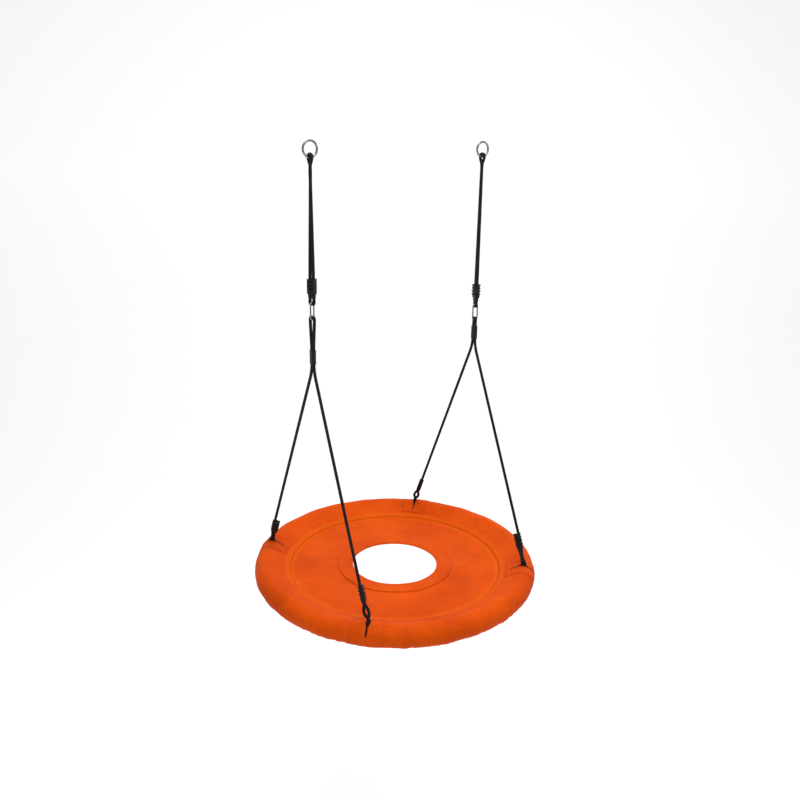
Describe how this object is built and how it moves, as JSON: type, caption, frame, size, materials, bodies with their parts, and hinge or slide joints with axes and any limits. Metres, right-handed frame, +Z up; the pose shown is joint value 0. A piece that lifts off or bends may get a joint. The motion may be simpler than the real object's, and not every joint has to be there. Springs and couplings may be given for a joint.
{
  "type": "saucer nest swing",
  "caption": "Round padded nest swing seat with a central hole, hung from two height-adjustable ropes with rings, snap hooks and forked legs.",
  "frame": {"origin": "midway between the two hanging rings, level with the inside of their tops, where the hooks of the beam carry them", "axes": "+Z up, +X along the beam towards the right ring, -Y towards the front of the swing"},
  "size_m": [0.9998, 0.9998, 1.505],
  "materials": {
    "cover_fabric": "coated orange woven polyester",
    "rope": "black braided polyester rope",
    "black_plastic": "moulded satin black",
    "zinc": "bright zinc plated",
    "steel": "powder coated",
    "foam": "closed-cell foam"
  },
  "bodies": {
    "hanging_rings": {"left_ring": "zinc", "right_ring": "zinc"},
    "seat": {"front_left_tie": "rope", "front_left_tube": "steel", "front_left_patch": "cover_fabric", "rear_left_tie": "rope", "rear_left_tube": "steel", "rear_left_patch": "cover_fabric", "front_right_tie": "rope", "front_right_tube": "steel", "front_right_patch": "cover_fabric", "rear_right_tie": "rope", "rear_right_tube": "steel", "rear_right_patch": "cover_fabric", "right_spigot": "steel", "right_foam": "foam", "right_rim_sleeve": "cover_fabric", "rear_spigot": "steel", "rear_foam": "foam", "rear_rim_sleeve": "cover_fabric", "left_spigot": "steel", "left_foam": "foam", "left_rim_sleeve": "cover_fabric", "front_spigot": "steel", "front_foam": "foam", "front_rim_sleeve": "cover_fabric", "frame_pins": "steel", "seat_panel": "cover_fabric", "under_panel": "cover_fabric", "hole_binding": "cover_fabric"},
    "left_bight": {"left_bight": "rope"},
    "left_line": {"left_fixed_strand": "rope", "left_running_strand": "rope"},
    "left_adjuster": {"left_adjuster": "black_plastic"},
    "left_fork": {"left_eye_clamp": "black_plastic", "left_eye": "rope", "left_hook": "zinc", "left_fork_rope": "rope", "left_fork_clamp": "black_plastic", "front_left_leg_clamp": "black_plastic", "rear_left_leg_clamp": "black_plastic"},
    "left_gate": {"left_gate": "zinc", "left_gate_rivet": "zinc"},
    "right_bight": {"right_bight": "rope"},
    "right_line": {"right_fixed_strand": "rope", "right_running_strand": "rope"},
    "right_adjuster": {"right_adjuster": "black_plastic"},
    "right_fork": {"right_eye_clamp": "black_plastic", "right_eye": "rope", "right_hook": "zinc", "right_fork_rope": "rope", "right_fork_clamp": "black_plastic", "front_right_leg_clamp": "black_plastic", "rear_right_leg_clamp": "black_plastic"},
    "right_gate": {"right_gate": "zinc", "right_gate_rivet": "zinc"}
  },
  "joints": [
    {"name": "left_swing", "type": "hinge", "parent": "hanging_rings", "child": "left_bight", "pos_m": [-0.32668, 0, -0.0435], "axis": [1, 0, 0], "range_deg": [-45, 45]},
    {"name": "left_sway", "type": "hinge", "parent": "left_bight", "child": "left_line", "pos_m": [-0.32668, 0, -0.07], "axis": [0, 1, 0], "range_deg": [-12, 12]},
    {"name": "left_adjuster_slide", "type": "slide", "parent": "left_line", "child": "left_adjuster", "axis": [0, 0, 1], "range_m": [0, 0.25], "deforming": ["left_fixed_strand"]},
    {"name": "left_let_down", "type": "slide", "parent": "left_line", "child": "left_fork", "axis": [0, 0, -1], "range_m": [0, 0.25], "deforming": ["left_running_strand"]},
    {"name": "left_gate_swing", "type": "hinge", "parent": "left_fork", "child": "left_gate", "pos_m": [-0.31898, 0.00359, -0.5093], "axis": [0.4226, -0.9063, 0], "range_deg": [0, 22], "stiffness_Nm_per_rad": 0.02, "springref_deg": -11.46},
    {"name": "right_swing", "type": "hinge", "parent": "hanging_rings", "child": "right_bight", "pos_m": [0.32668, 0, -0.0435], "axis": [1, 0, 0], "range_deg": [-45, 45]},
    {"name": "right_sway", "type": "hinge", "parent": "right_bight", "child": "right_line", "pos_m": [0.32668, 0, -0.07], "axis": [0, 1, 0], "range_deg": [-12, 12]},
    {"name": "right_adjuster_slide", "type": "slide", "parent": "right_line", "child": "right_adjuster", "axis": [0, 0, 1], "range_m": [0, 0.25], "deforming": ["right_fixed_strand"]},
    {"name": "right_let_down", "type": "slide", "parent": "right_line", "child": "right_fork", "axis": [0, 0, -1], "range_m": [0, 0.25], "deforming": ["right_running_strand"]},
    {"name": "right_gate_swing", "type": "hinge", "parent": "right_fork", "child": "right_gate", "pos_m": [0.33489, -0.0022, -0.5833], "axis": [-0.2588, -0.9659, 0], "range_deg": [0, 22], "stiffness_Nm_per_rad": 0.02, "springref_deg": -11.46},
    {"name": "seat_level", "type": "hinge", "parent": "left_fork", "child": "seat", "pos_m": [-0.32668, 0, -1.414], "axis": [0, 1, 0], "range_deg": [-12, 12]}
  ],
  "couplings": [
    {"joint": "right_swing", "follows": "left_swing", "ratio": 1},
    {"joint": "right_sway", "follows": "left_sway", "ratio": 1},
    {"joint": "seat_level", "follows": "left_sway", "ratio": -1},
    {"joint": "left_adjuster_slide", "follows": "left_let_down", "ratio": 1},
    {"joint": "right_adjuster_slide", "follows": "left_let_down", "ratio": 1},
    {"joint": "right_let_down", "follows": "left_let_down", "ratio": 1}
  ]
}
